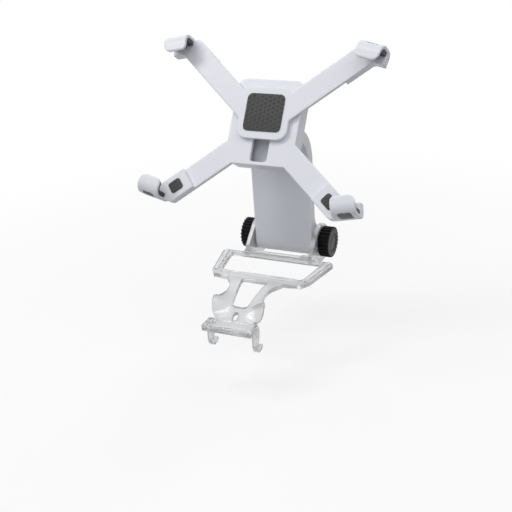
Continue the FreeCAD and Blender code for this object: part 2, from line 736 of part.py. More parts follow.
def claw_hook():
    """Lower right claw before it is turned: its width along x, outward along -v."""
    lip_n = CLAW_FRONT_N - CLAW
    shelf = CLAW_OUT - CLAW
    back_n, bar_n = BRACKET_N[0], CARRIAGE_N[1]
    half = CLAW_WIDTH / 2
    hook = claw_strip([
        (-LIP, CLAW_FRONT_N, LIP_EDGE_R),
        (CLAW_OUT, CLAW_FRONT_N, CLAW_BEND_R),
        (CLAW_OUT, back_n, CLAW_BACK_R),
        (-CLAW_ROOT, back_n, 0),
        (-CLAW_ROOT, bar_n, 0),
        (shelf, bar_n, CLAW_INNER_R),
        (shelf, lip_n, CLAW_BEND_R - CLAW),
        (-LIP, lip_n, LIP_EDGE_R),
    ], half)
    back = box(-half, half, -LIP, LIP, back_n - PAST, bar_n)
    hook = fuse([hook.common(lip_outline(0, bar_n)), hook.common(back)])
    return hook.cut(window_post(0, 0))


def claw_liner():
    """Rubber L on the inside of the lip and the shelf, with a plug that fills the window."""
    lip_n = CLAW_FRONT_N - CLAW - LINER_GAP
    shelf = CLAW_OUT - CLAW - LINER_GAP
    bend = CLAW_BEND_R - CLAW - LINER_GAP
    rear = CARRIAGE_N[1] + LINER_REAR
    tip = -LIP + LINER_TIP
    liner = claw_strip([
        (tip, lip_n, LINER_EDGE_R),
        (shelf, lip_n, bend),
        (shelf, rear, LINER_EDGE_R),
        (shelf - SHELF_LINER, rear, LINER_EDGE_R),
        (shelf - SHELF_LINER, lip_n - LIP_LINER, bend - SHELF_LINER),
        (tip, lip_n - LIP_LINER, LINER_EDGE_R),
    ], CLAW_WIDTH / 2).common(lip_outline(LINER_SIDE, rear))
    face_n = CLAW_FRONT_N - PLUG_SINK
    face_out = CLAW_OUT - PLUG_SINK
    plug = claw_strip([
        (tip, face_n, 0),
        (face_out, face_n, CLAW_BEND_R - PLUG_SINK),
        (face_out, rear, 0),
        (tip, rear, 0),
    ], WINDOW_HALF).common(window_post(LINER_GAP, PLUG_ROOT))
    return fuse([liner, plug])


def at_claw(shape, edge):
    """Turns a claw's piece and sets it at the lower right, on a held edge."""
    placed = shape.copy()
    turn = FreeCAD.Rotation(Vec(0, 0, 1), CLAW_TURN)
    placed.Placement = FreeCAD.Placement(Vec(CLAW_X, -edge, 0), turn).multiply(placed.Placement)
    return placed


def crossing(point_a, run_a, point_b, run_b):
    """Where two lines in the plane meet."""
    gap = point_b - point_a
    along = (gap.x * run_b.y - gap.y * run_b.x) / (run_a.x * run_b.y - run_a.y * run_b.x)
    return point_a + run_a * along


def bar_plate(start, edge, low, high):
    """Lower right bar of the X from a distance along it to the back of its claw."""
    angle = math.radians(-BAR_ANGLE)
    run = Vec(math.cos(angle), math.sin(angle), 0)
    side = Vec(-run.y, run.x, 0) * (BAR_WIDTH / 2)
    turn = math.radians(CLAW_TURN)
    across = Vec(math.cos(turn), math.sin(turn), 0)
    outward = Vec(math.sin(turn), -math.cos(turn), 0)
    seat = Vec(CLAW_X, -edge, 0)
    half = CLAW_WIDTH / 2
    inner_side = across * (half - ROOT_INSET)
    heel = outward * (CLAW_OUT - HEEL_INSET)
    root = seat - outward * CLAW_ROOT
    corners = [
        (run * start + side, 0),
        (crossing(side, run, root, across), BAR_INNER_R),
        (root + across * half, ROOT_CORNER_R),
        (seat + across * half, 0),
        (seat - inner_side, 0),
        (seat - inner_side + heel, 0),
        (crossing(Vec(0, 0, 0) - side, run, seat + heel, across), BAR_OUTER_R),
        (run * start - side, 0),
    ]
    return slab([(p.x, p.y, r) for p, r in corners], low, high)


def bar_and_claw(layer, edge):
    thin = bar_plate(0, edge, layer[0], layer[1])
    thick = bar_plate(THICK_START, edge, BRACKET_N[0], CARRIAGE_N[1])
    return fuse([thin, thick, at_claw(claw_hook(), edge)])


def plate_outline(half, top, bottom, radius):
    return mirrored([(half, top, radius), (half, bottom, radius)])


def lower_bracket():
    back_n, front_n = BRACKET_N
    plate = slab(plate_outline(HUB_HALF, HUB_TOP, HUB_BOTTOM, HUB_CORNER_R), back_n, front_n)
    whole = fuse([plate] + both_sides(bar_and_claw(BRACKET_N, LOWER_EDGE)))
    slot = plate_outline(BOSS_HALF_X + SLOT_RUN, SLOT_TOP, SLOT_BOTTOM, SLOT_R)
    whole = whole.cut(slab(slot, back_n - PAST, front_n + PAST))
    for x, v in HOUSING_SCREW_PLACES:
        whole = whole.cut(cylinder(SCREW_R, Vec(x, v, back_n - PAST), Vec(x, v, front_n - HOLE_FLOOR)))
    return whole


def upper_carriage():
    """Sliding plate with the two upper bars, and the boss that carries it on the slider."""
    back_n, front_n = CARRIAGE_N
    right = mirror_v(bar_and_claw(CARRIAGE_N, UPPER_EDGE))
    half, top, bottom = CARRIAGE_PLATE
    plate = slab(plate_outline(half, top, bottom, HUB_CORNER_R), back_n, front_n)
    boss_outline = plate_outline(BOSS_HALF_X, SLIDER_V + BOSS_HALF_V, SLIDER_V - BOSS_HALF_V, BOSS_R)
    boss = slab(boss_outline, SLIDER_N[1], back_n + BOSS_ROOT)
    whole = fuse([plate, boss] + both_sides(right))
    for v in SLIDER_SCREW_V:
        whole = whole.cut(cylinder(SCREW_R, Vec(0, v, SLIDER_N[1] - PAST), Vec(0, v, back_n - SCREW_ROOM)))
    return whole


def rear_housing():
    wall = HOUSING_WALL
    back_n, front_n = HOUSING_N
    outer = slab(plate_outline(HUB_HALF, HUB_TOP, HUB_BOTTOM, HUB_CORNER_R), back_n, front_n)
    inside = plate_outline(HUB_HALF - wall, HUB_TOP - wall, HUB_BOTTOM + wall, HUB_CORNER_R - wall)
    shell = outer.cut(slab(inside, back_n + wall, front_n + PAST))
    posts = [cylinder(HOUSING_POST_R, Vec(x, v, back_n), Vec(x, v, front_n)) for x, v in HOUSING_SCREW_PLACES]
    shell = fuse([shell] + [post.common(outer) for post in posts])
    for x, v in HOUSING_SCREW_PLACES:
        start = Vec(x, v, back_n - PAST)
        shell = shell.cut(cylinder(SCREW_R + SCREW_GAP, start, Vec(x, v, front_n + PAST)))
        shell = shell.cut(cylinder(SCREW_HEAD_R + SCREW_GAP, start, Vec(x, v, HOUSING_HEAD_N)))
    for x in NECK_SCREW_X:
        inside_n = back_n + wall
        shell = shell.cut(cylinder(SCREW_R + SCREW_GAP, Vec(x, 0, back_n - PAST), Vec(x, 0, inside_n)))
        head = cylinder(SCREW_HEAD_R + SCREW_GAP, Vec(x, 0, NECK_HEAD_N), Vec(x, 0, inside_n + PAST))
        shell = shell.cut(head)
    for rod in rods(ROD_R + PRESS_GAP, ROD_SEAT):
        shell = shell.cut(rod)
    return shell


def rods(radius, from_edge):
    """Both guide rods, with their ends inside the housing's top and bottom walls."""
    low, high = HUB_BOTTOM + from_edge, HUB_TOP - from_edge
    return [cylinder(radius, Vec(x, low, ROD_N), Vec(x, high, ROD_N)) for x in (ROD_X, -ROD_X)]


def guide_rods():
    return Part.Compound(rods(ROD_R, ROD_SEAT + 2 * FACE_GAP))


def slider_block():
    back_n, front_n = SLIDER_N
    top, bottom = SLIDER_V + SLIDER_HALF_V, SLIDER_V - SLIDER_HALF_V
    block = slab(plate_outline(SLIDER_HALF_X, top, bottom, SLIDER_CORNER_R), back_n, front_n)
    for rod in rods(ROD_BORE_R, 0):
        block = block.cut(rod)
    for v in SLIDER_SCREW_V:
        start = Vec(0, v, back_n - PAST)
        block = block.cut(cylinder(SCREW_R + SCREW_GAP, start, Vec(0, v, front_n + PAST)))
        block = block.cut(cylinder(SCREW_HEAD_R + SCREW_GAP, start, Vec(0, v, back_n + SCREW_HEAD)))
    return block


def arc_to(start, corner, end):
    """Arc that leaves start and reaches end along the lines to their common corner."""
    middle = (start + end) * 0.5
    half_chord = (end - start).Length / 2
    rise = (corner - middle).Length
    sagitta = half_chord * math.tan(math.atan2(rise, half_chord) / 2)
    return Part.Arc(start, middle + (corner - middle).normalize() * sagitta, end).toShape()


def coil_path(radius, pitch, turns):
    """Helix about Z as pairs of tangent arcs, one pair to each quarter turn."""
    slope = pitch / (2 * math.pi)
    edges = []
    for i in range(4 * turns):
        ends = []
        for k in (i, i + 1):
            angle = k * math.pi / 2
            point = Vec(radius * math.cos(angle), radius * math.sin(angle), slope * angle)
            ends.append((point, Vec(-radius * math.sin(angle), radius * math.cos(angle), slope).normalize()))
        (start, leave), (end, arrive) = ends
        chord = end - start
        bend = 2 * (leave.dot(arrive) - 1)
        reach = chord.dot(leave + arrive)
        size = (reach - math.sqrt(reach ** 2 - bend * chord.dot(chord))) / bend
        first = start + leave * size
        second = end - arrive * size
        joint = (first + second) * 0.5
        edges.append(arc_to(start, first, joint))
        edges.append(arc_to(joint, second, end))
    return Part.Wire(edges)


def spring(side):
    """Compression spring round a guide rod, between the slider and the housing's top."""
    room = SPRING_WIRE_R + SPRING_SEAT
    low = SLIDER_V + SLIDER_HALF_V + room
    high = HUB_TOP - HOUSING_WALL - room
    pitch = (high - low) / SPRING_TURNS
    print("gap between the spring's turns", round(pitch - 2 * SPRING_WIRE_R, 2))
    start = Vec(SPRING_R, 0, 0)
    ring = Part.Wire(Part.makeCircle(SPRING_WIRE_R, start, Vec(0, SPRING_R, pitch / (2 * math.pi))))
    coil = coil_path(SPRING_R, pitch, SPRING_TURNS).makePipeShell([ring], True)
    coil.Placement = FreeCAD.Placement(Vec(side * ROD_X, low, ROD_N), FreeCAD.Rotation(Vec(1, 0, 0), -90))
    return coil


def back_pads():
    """Rubber pads at the back of the grip: one on the carriage, one on the lower right bar."""
    front_n = -GRIP_DEPTH - FACE_GAP
    back_n = CARRIAGE_N[1] + PRESS_GAP
    upper = slab(plate_outline(*UPPER_PAD), back_n, front_n)
    lower = slab(plate_outline(*LOWER_PAD), back_n, front_n)
    turn = FreeCAD.Rotation(Vec(0, 0, 1), 90 - BAR_ANGLE)
    middle = Vec(LOWER_PAD_X, -LOWER_PAD_X * math.tan(math.radians(BAR_ANGLE)), 0)
    lower.Placement = FreeCAD.Placement(middle, turn).multiply(lower.Placement)
    return upper, lower


def housing_screws():
    heads = [Vec(x, v, HOUSING_HEAD_N) for x, v in HOUSING_SCREW_PLACES]
    return Part.Compound([screw(head, Vec(0, 0, 1), HOUSING_SCREW) for head in heads])


def slider_screws():
    head_n = SLIDER_N[0] + SCREW_HEAD
    return Part.Compound([screw(Vec(0, v, head_n), Vec(0, 0, 1), SLIDER_SCREW) for v in SLIDER_SCREW_V])


def neck_screws():
    return Part.Compound([screw(Vec(x, 0, NECK_HEAD_N), Vec(0, 0, -1), NECK_SCREW) for x in NECK_SCREW_X])


def save_pair(name, right):
    """Saves a piece of the holder's right side, and its mirror image on the left."""
    save(name.replace("SIDE", "right"), set_on_arm(right))
    save(name.replace("SIDE", "left"), set_on_arm(mirror_x(right)))


def main():
    os.makedirs("parts", exist_ok=True)
    save("controller_frame", controller_frame())
    save("hinge_yoke", hinge_yoke())
    save("friction_washers", friction_washers())
    save("pivot_sleeve", pivot_sleeve())
    save("pivot_bolt", pivot_bolt())
    save("right_knob", knob_shell())
    save("left_knob", mirror_x(knob_shell()))
    save("right_knob_cap", knob_cap())
    save("left_knob_cap", mirror_x(knob_cap()))
    save("knob_nut", knob_nut())
    save("arm_front_shell", arm_front_shell())
    save("arm_rear_cover", arm_rear_cover())
    save("arm_screws", arm_screws())
    save("lower_bracket", set_on_arm(lower_bracket()))
    save("upper_carriage", set_on_arm(upper_carriage()))
    save("rear_housing", set_on_arm(rear_housing()))
    save("guide_rods", set_on_arm(guide_rods()))
    save("slider_block", set_on_arm(slider_block()))
    save("right_spring", set_on_arm(spring(1)))
    save("left_spring", set_on_arm(spring(-1)))
    save("housing_screws", set_on_arm(housing_screws()))
    save("slider_screws", set_on_arm(slider_screws()))
    save("neck_screws", set_on_arm(neck_screws()))
    save_pair("lower_SIDE_liner", at_claw(claw_liner(), LOWER_EDGE))
    save_pair("upper_SIDE_liner", mirror_v(at_claw(claw_liner(), UPPER_EDGE)))
    upper_pad, lower_pad = back_pads()
    save("upper_back_pad", set_on_arm(upper_pad))
    save_pair("lower_SIDE_back_pad", lower_pad)


main()
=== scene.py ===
import json
import math

import bmesh
import bpy
from mathutils import Matrix, Vector


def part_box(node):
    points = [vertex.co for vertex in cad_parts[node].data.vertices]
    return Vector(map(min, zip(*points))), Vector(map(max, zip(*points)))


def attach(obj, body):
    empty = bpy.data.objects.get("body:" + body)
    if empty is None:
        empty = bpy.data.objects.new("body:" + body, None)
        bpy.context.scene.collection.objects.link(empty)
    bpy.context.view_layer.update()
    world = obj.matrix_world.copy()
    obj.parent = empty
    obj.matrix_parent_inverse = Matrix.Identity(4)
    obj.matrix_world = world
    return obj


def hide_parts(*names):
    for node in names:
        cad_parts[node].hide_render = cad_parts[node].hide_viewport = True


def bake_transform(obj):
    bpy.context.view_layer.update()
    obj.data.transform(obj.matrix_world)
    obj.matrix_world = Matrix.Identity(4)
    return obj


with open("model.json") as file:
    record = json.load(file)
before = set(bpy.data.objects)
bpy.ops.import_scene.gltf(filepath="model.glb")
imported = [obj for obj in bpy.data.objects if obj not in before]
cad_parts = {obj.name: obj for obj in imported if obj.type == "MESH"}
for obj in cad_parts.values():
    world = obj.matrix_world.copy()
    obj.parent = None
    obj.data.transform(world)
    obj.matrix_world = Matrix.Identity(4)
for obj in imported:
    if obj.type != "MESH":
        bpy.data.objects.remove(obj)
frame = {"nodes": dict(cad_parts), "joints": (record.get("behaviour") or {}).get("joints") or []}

scene = bpy.context.scene
scene.view_settings.view_transform = "Standard"
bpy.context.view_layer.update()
nodes = frame["nodes"]

# Camera. It looks down at the clip from the front and a little to the right, with the
# long lens that mirrored pairs of points on the clip give.
LENS = 64.6
SENSOR = 36.0
NEAREST = 0.01              # nothing nearer to the lens than this is drawn
CAMERA_PLACE = (0.2015, -0.4187, 0.2338)
CAMERA_RIGHT = (0.9101, 0.4094, -0.0647)
CAMERA_FORWARD = (-0.3959, 0.8124, -0.4281)

camera_data = bpy.data.cameras.new("camera")
camera_data.lens = LENS
camera_data.sensor_width = SENSOR
camera_data.clip_start = NEAREST
camera = bpy.data.objects.new("camera", camera_data)
scene.collection.objects.link(camera)
right = Vector(CAMERA_RIGHT).normalized()
forward = Vector(CAMERA_FORWARD)
forward = (forward - right * forward.dot(right)).normalized()
camera_axes = Matrix((right, right.cross(forward), -forward)).transposed()
camera.matrix_world = Matrix.Translation(CAMERA_PLACE) @ camera_axes.to_4x4()
scene.camera = camera

# Floor. It lies as far below the clip as in use, and keeps a soft shadow near it.
# Further out it is plain white to every ray that shows it.
FLOOR_Z = -0.052
FLOOR_HALF = 4.0            # half of the floor's side
FLOOR_GREY = (0.36, 0.36, 0.37)
FLOOR_WHITE = (0.93, 0.93, 0.935)
FLOOR_ROUGHNESS = 0.8
FLOOR_SHINE = 0.1
NEAR_WHITE = 0.7            # share of plain white in the floor near the clip
SHADOW_REACH = 0.16         # from this distance on that share grows
WHITE_FROM = 0.42           # and from here on the floor is all plain white

corners = [(x * FLOOR_HALF, y * FLOOR_HALF, FLOOR_Z) for x, y in ((-1, -1), (1, -1), (1, 1), (-1, 1))]
floor_mesh = bpy.data.meshes.new("floor")
floor_mesh.from_pydata(corners, [], [(0, 1, 2, 3)])
floor = bpy.data.objects.new("floor", floor_mesh)
scene.collection.objects.link(floor)


def arithmetic(tree, operation, *values):
    """Result of one operation on sockets or numbers."""
    step = tree.nodes.new("ShaderNodeMath")
    step.operation = operation
    for socket, value in zip(step.inputs, values):
        if isinstance(value, (int, float)):
            socket.default_value = value
        else:
            tree.links.new(value, socket)
    return step.outputs["Value"]


def ranged(tree, value, start, end, low, high):
    """Node whose result goes from low to high as the value goes from start to end."""
    step = tree.nodes.new("ShaderNodeMapRange")
    step.inputs["From Min"].default_value = start
    step.inputs["From Max"].default_value = end
    step.inputs["To Min"].default_value = low
    step.inputs["To Max"].default_value = high
    tree.links.new(value, step.inputs["Value"])
    return step


def mixed(tree, share, first, second, kind="RGBA"):
    """Mix of two sockets, or of a colour given as three numbers in place of either."""
    mix = tree.nodes.new("ShaderNodeMix")
    mix.data_type = kind
    tree.links.new(share, mix.inputs["Factor"])
    for label, value in (("A", first), ("B", second)):
        if isinstance(value, tuple):
            mix.inputs[label].default_value = (*value, 1)
        else:
            tree.links.new(value, mix.inputs[label])
    return mix.outputs["Result"]


def own_place(tree):
    """Place of a point on the object, in metres."""
    return tree.nodes.new("ShaderNodeTexCoord").outputs["Object"]


def seen_directly(tree):
    """1 for a ray that shows a background: straight, mirrored or through clear plastic."""
    ray = tree.nodes.new("ShaderNodeLightPath").outputs
    direct = arithmetic(tree, "MAXIMUM", ray["Is Camera Ray"], ray["Is Glossy Ray"])
    return arithmetic(tree, "MAXIMUM", direct, ray["Is Transmission Ray"])


floor_material = bpy.data.materials.new("pale_floor")
floor_material.use_nodes = True
tree = floor_material.node_tree
seen = seen_directly(tree)
floor_shader = tree.nodes["Principled BSDF"]
floor_shader.inputs["Roughness"].default_value = FLOOR_ROUGHNESS
floor_shader.inputs["Specular IOR Level"].default_value = FLOOR_SHINE
tree.links.new(mixed(tree, seen, FLOOR_GREY, FLOOR_WHITE), floor_shader.inputs["Base Color"])
distance = tree.nodes.new("ShaderNodeVectorMath")
distance.operation = "LENGTH"
tree.links.new(own_place(tree), distance.inputs[0])
whiteness = ranged(tree, distance.outputs["Value"], SHADOW_REACH, WHITE_FROM, NEAR_WHITE, 1.0)
whiteness.interpolation_type = "SMOOTHSTEP"
white = tree.nodes.new("ShaderNodeEmission")
blend = tree.nodes.new("ShaderNodeMixShader")
tree.links.new(arithmetic(tree, "MULTIPLY", whiteness.outputs["Result"], seen), blend.inputs["Fac"])
tree.links.new(floor_shader.outputs["BSDF"], blend.inputs[1])
tree.links.new(white.outputs["Emission"], blend.inputs[2])
tree.links.new(blend.outputs["Shader"], tree.nodes["Material Output"].inputs["Surface"])
floor_mesh.materials.append(floor_material)

# Studio light: a bright long lamp high on the left, which draws highlights on edges that
# run across, two small ones for the other edges, soft fillers, and an even pale surround.
KEY_POWER = 8.0             # watts, as for every lamp
BEHIND_POWER = 1.5
LOW_POWER = 0.5
RIGHT_POWER = 2.2
FRONT_POWER = 0.9
SIDE_POWER = 0.5
REAR_POWER = 1.2
PLAIN_WHITE = (1.0, 1.0, 1.0)
WARM_WHITE = (1.0, 0.99, 0.98)
COOL_WHITE = (0.98, 0.98, 1.0)
SIDE_WHITE = (0.95, 0.97, 1.0)
REAR_WHITE = (0.97, 0.98, 1.0)
SURROUND_COLOUR = (0.93, 0.96, 1.0)
SURROUND = 0.30             # strength of the surround's light on the clip
CLIP_MIDDLE = Vector((0, 0, 0.04))


def lamp(name, place, size, power, colour):
    """Soft lamp of that width and height that faces the middle of the clip."""
    data = bpy.data.lights.new(name, "AREA")
    data.shape = "RECTANGLE"
    data.size, data.size_y = size
    data.energy = power
    data.color = colour
    item = bpy.data.objects.new(name, data)
    item.location = place
    item.rotation_euler = (CLIP_MIDDLE - Vector(place)).to_track_quat("-Z", "Y").to_euler()
    scene.collection.objects.link(item)


lamp("key", place=(-0.6, -0.45, 1.26), size=(0.3, 1.0), power=KEY_POWER, colour=WARM_WHITE)
lamp("behind", place=(0.22, 0.82, 0.53), size=(0.4, 0.12), power=BEHIND_POWER, colour=PLAIN_WHITE)
lamp("low", place=(0.2, -0.95, 0.18), size=(0.3, 0.06), power=LOW_POWER, colour=PLAIN_WHITE)
lamp("right", place=(0.5, -0.22, 0.88), size=(0.8, 0.8), power=RIGHT_POWER, colour=WARM_WHITE)
lamp("front", place=(0.1, -0.8, 0.62), size=(0.5, 0.5), power=FRONT_POWER, colour=COOL_WHITE)
lamp("side", place=(-0.9, -0.15, 0.45), size=(0.6, 0.6), power=SIDE_POWER, colour=SIDE_WHITE)
lamp("rear", place=(-0.5, 0.65, 0.95), size=(0.6, 0.6), power=REAR_POWER, colour=REAR_WHITE)

world = bpy.data.worlds.new("studio")
world.use_nodes = True
scene.world = world
tree = world.node_tree
tree.nodes.clear()
surround = tree.nodes.new("ShaderNodeBackground")
surround.inputs["Color"].default_value = (*SURROUND_COLOUR, 1)
surround.inputs["Strength"].default_value = SURROUND
backdrop = tree.nodes.new("ShaderNodeBackground")
backdrop.inputs["Color"].default_value = (*PLAIN_WHITE, 1)
backdrop.inputs["Strength"].default_value = 1.0
blend = tree.nodes.new("ShaderNodeMixShader")
output = tree.nodes.new("ShaderNodeOutputWorld")
tree.links.new(seen_directly(tree), blend.inputs["Fac"])
tree.links.new(surround.outputs["Background"], blend.inputs[1])
tree.links.new(backdrop.outputs["Background"], blend.inputs[2])
tree.links.new(blend.outputs["Shader"], output.inputs["Surface"])

# Clear frame. It is one moulding of clear plastic: bars round a large window, a bridge
# between two round notches, and a latch bar with two legs that hook back. The mould
# rounds its edges and frosts the latch bar. The tops of the raised lines are painted
# white, a painted highlight.
FRAME_CELL = 0.00026        # cells in which the moulding is rebuilt with rounded edges
FRAME_CLEAR = (0.78, 0.785, 0.795)
FRAME_DEEPER = (0.71, 0.715, 0.725)
FRAME_TRANSMISSION = 0.80
CLEAR_ROUGHNESS = 0.2
CLEAR_SPREAD = 0.02         # how far the roughness goes up and down from its middle
CLEAR_GRAIN = 260           # scale of the fine grain
CLEAR_BUMP = 0.05           # strength of its relief
CLEAR_IOR = 1.58
FROST_ROUGHNESS = (0.208, 0.312)  # lowest and highest
FROST_GRAIN = 1100
FROST_BUMP = 0.3
FROST_PITS = 0.00015        # depth of the frosting
# Painted highlight: the tops of the raised lines are painted this white.
PAINTED_HIGHLIGHT_WHITE = (1.0, 1.0, 1.0)
PATCH_SCALE = 60            # patches in which a colour deepens, in every finish
PATCH_DETAIL = 3
GRAIN_DETAIL = 4
GRAIN_DEPTH = 0.0001        # depth of the fine grain, in every finish
MERGE_WITHIN = 2e-6         # points nearer to each other than this are one
EASE_SHARE = 0.5            # how far one smoothing pass takes a point towards its neighbours
LATCH_DEPTH = 0.0099        # from the frame's front to the latch bar's rear edge
LATCH_HEIGHT = 0.0167       # from the hooks' feet to the latch bar's top

# The frost and each painted highlight fade in between two distances from one of the frame's faces.
FROST_AT_REAR = (0.0006, -0.0004)
FROST_AT_TOP = (0.0008, 0.0)
FROST_AT_FOOT = (0.0026, 0.0066)
BAR_PAINTED_HIGHLIGHT_AT_TOP = (-0.0006, -0.0002)
LATCH_PAINTED_HIGHLIGHT_AT_REAR = (-0.0004, -0.0010)
LATCH_PAINTED_HIGHLIGHT_AT_TOP = (0.0002, 0.0006)


def noise(tree, place, scale, detail):
    """Soft random pattern from 0 to 1."""
    pattern = tree.nodes.new("ShaderNodeTexNoise")
    pattern.inputs["Scale"].default_value = scale
    pattern.inputs["Detail"].default_value = detail
    tree.links.new(place, pattern.inputs["Vector"])
    return pattern.outputs["Fac"]


def finish(name, colour, deeper, roughness, spread, grain, bump):
    """Material of two near colours, with uneven gloss and a fine grain in its surface."""
    material = bpy.data.materials.new(name)
    material.use_nodes = True
    tree = material.node_tree
    shader = tree.nodes["Principled BSDF"]
    place = own_place(tree)
    patches = noise(tree, place, PATCH_SCALE, PATCH_DETAIL)
    fine = noise(tree, place, grain, GRAIN_DETAIL)
    gloss = ranged(tree, fine, 0.0, 1.0, roughness - spread, roughness + spread)
    relief = tree.nodes.new("ShaderNodeBump")
    relief.inputs["Strength"].default_value = bump
    relief.inputs["Distance"].default_value = GRAIN_DEPTH
    tree.links.new(fine, relief.inputs["Height"])
    tree.links.new(mixed(tree, patches, colour, deeper), shader.inputs["Base Color"])
    tree.links.new(gloss.outputs["Result"], shader.inputs["Roughness"])
    tree.links.new(relief.outputs["Normal"], shader.inputs["Normal"])
    return material


def coordinates(tree, place):
    """X, Y and Z of a place."""
    split = tree.nodes.new("ShaderNodeSeparateXYZ")
    tree.links.new(place, split.inputs["Vector"])
    return split.outputs


def past_faces(tree, faces):
    """1 past every one of those faces, and 0 before any of them."""
    at = coordinates(tree, own_place(tree))
    mask = None
    for axis, face, (start, full) in faces:
        past = ranged(tree, at[axis], face + start, face + full, 0.0, 1.0).outputs["Result"]
        mask = past if mask is None else arithmetic(tree, "MULTIPLY", mask, past)
    return mask


def repainted(material, mask, colour):
    """Gives a material another colour where the mask is 1."""
    base = material.node_tree.nodes["Principled BSDF"].inputs["Base Color"]
    paint = mixed(material.node_tree, mask, base.links[0].from_socket, colour)
    material.node_tree.links.new(paint, base)


def frosted(material, mask):
    """Frosts a clear plastic where the mask is 1."""
    tree = material.node_tree
    roughness = tree.nodes["Principled BSDF"].inputs["Roughness"]
    normal = tree.nodes["Principled BSDF"].inputs["Normal"]
    speckle = noise(tree, own_place(tree), FROST_GRAIN, PATCH_DETAIL)
    rough = ranged(tree, speckle, 0.0, 1.0, *FROST_ROUGHNESS).outputs["Result"]
    pits = tree.nodes.new("ShaderNodeBump")
    pits.inputs["Distance"].default_value = FROST_PITS
    tree.links.new(arithmetic(tree, "MULTIPLY", mask, FROST_BUMP), pits.inputs["Strength"])
    tree.links.new(speckle, pits.inputs["Height"])
    tree.links.new(normal.links[0].from_socket, pits.inputs["Normal"])
    tree.links.new(pits.outputs["Normal"], normal)
    tree.links.new(mixed(tree, mask, roughness.links[0].from_socket, rough, "FLOAT"), roughness)


def clear(name, colour, deeper, transmission):
    """Clear plastic with a faint grey body and a satin gloss."""
    material = finish(name, colour, deeper, CLEAR_ROUGHNESS, CLEAR_SPREAD, CLEAR_GRAIN, CLEAR_BUMP)
    shader = material.node_tree.nodes["Principled BSDF"]
    shader.inputs["Transmission Weight"].default_value = transmission
    shader.inputs["IOR"].default_value = CLEAR_IOR
    return material


def dress(material, *names):
    """Gives those nodes one material."""
    for name in names:
        slots = nodes[name].data.materials
        slots.clear()
        slots.append(material)


def joined(name):
    """A carried-over node with its loose faces joined up and its curves shaded smooth."""
    item = nodes[name]
    item.data.shade_smooth()
    merge = item.modifiers.new("joined", "WELD")
    merge.merge_threshold = MERGE_WITHIN
    return item


def moulded(name, cell, passes):
    """Rounds every edge alike: the node is rebuilt in small even cells, then smoothed."""
    item = joined(name)
    cells = item.modifiers.new("cells", "REMESH")
    cells.mode = "VOXEL"
    cells.voxel_size = cell
    cells.use_smooth_shade = True
    ease = item.modifiers.new("eased", "SMOOTH")
    ease.factor = EASE_SHARE
    ease.iterations = passes


frame_low, frame_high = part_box("controller_frame")
latch_rear = frame_low.y + LATCH_DEPTH
latch_top = frame_low.z + LATCH_HEIGHT
frame_plastic = clear("clear_frame_plastic", FRAME_CLEAR, FRAME_DEEPER, FRAME_TRANSMISSION)
tree = frame_plastic.node_tree
latch = past_faces(tree, [("Y", latch_rear, FROST_AT_REAR), ("Z", latch_top, FROST_AT_TOP),
                          ("Z", frame_low.z, FROST_AT_FOOT)])
# The tops of the raised lines on the bars and on the latch bar are painted white: painted highlights.
bar_painted_highlights = past_faces(tree, [("Z", frame_high.z, BAR_PAINTED_HIGHLIGHT_AT_TOP)])
latch_painted_highlights = past_faces(tree, [("Y", latch_rear, LATCH_PAINTED_HIGHLIGHT_AT_REAR),
                                ("Z", latch_top, LATCH_PAINTED_HIGHLIGHT_AT_TOP)])
frosted(frame_plastic, latch)
repainted(frame_plastic, bar_painted_highlights, PAINTED_HIGHLIGHT_WHITE)
repainted(frame_plastic, latch_painted_highlights, PAINTED_HIGHLIGHT_WHITE)
dress(frame_plastic, "controller_frame")
moulded("controller_frame", FRAME_CELL, passes=3)

# Hinge yoke. The same clear plastic, in a copy that lets less light through and is painted
# lighter as painted light: two ears for the bolt, standing on feet that lie on the frame's
# rear bar, with a thin rod from foot to foot.
YOKE_CELL = 0.00024
# Painted light: these colours are lighter than the frame's, for the same plastic.
YOKE_CLEAR_PAINTED_LIGHTER = (0.93, 0.935, 0.945)
YOKE_DEEPER_PAINTED_LIGHTER = (0.88, 0.885, 0.895)
YOKE_TRANSMISSION = 0.72

yoke_plastic = clear("clear_yoke_plastic", YOKE_CLEAR_PAINTED_LIGHTER, YOKE_DEEPER_PAINTED_LIGHTER, YOKE_TRANSMISSION)
dress(yoke_plastic, "hinge_yoke")
moulded("hinge_yoke", YOKE_CELL, passes=3)

# Arm. Two shells of satin white plastic: a front shell from the hinge's barrel up to
# the holder, and a rear cover set into it and held by four small steel screws.
SHELL_CELL = 0.00038
COVER_CELL = 0.00036
WHITE = (0.80, 0.81, 0.86)
WHITE_DEEPER = (0.765, 0.775, 0.83)
WHITE_ROUGHNESS = 0.36
WHITE_SPREAD = 0.06
WHITE_GRAIN = 1500
WHITE_BUMP = 0.12
SCREW_EDGE = 0.00008        # width of the rounding along a screw's edges
EDGE_SEGMENTS = 2
FLAT_WITHIN = math.radians(0.6)  # faces that turn less than this are one flat face
SHARP_PAST = math.radians(35)  # an edge that turns more than this is rounded
STEEL = (0.56, 0.56, 0.57)
STEEL_DEEPER = (0.48, 0.48, 0.49)
STEEL_ROUGHNESS = 0.28
METAL_SPREAD = 0.08
METAL_GRAIN = 900
METAL_BUMP = 0.1


def round_edges(name, width):
    """Rounds the sharp edges of a node, once its flat faces are whole again."""
    item = joined(name)
    flat = item.modifiers.new("flats", "DECIMATE")
    flat.decimate_type = "DISSOLVE"
    flat.angle_limit = FLAT_WITHIN
    bevel = item.modifiers.new("rounded_edges", "BEVEL")
    bevel.width = width
    bevel.segments = EDGE_SEGMENTS
    bevel.limit_method = "ANGLE"
    bevel.angle_limit = SHARP_PAST
    bevel.use_clamp_overlap = False
    bevel.harden_normals = True


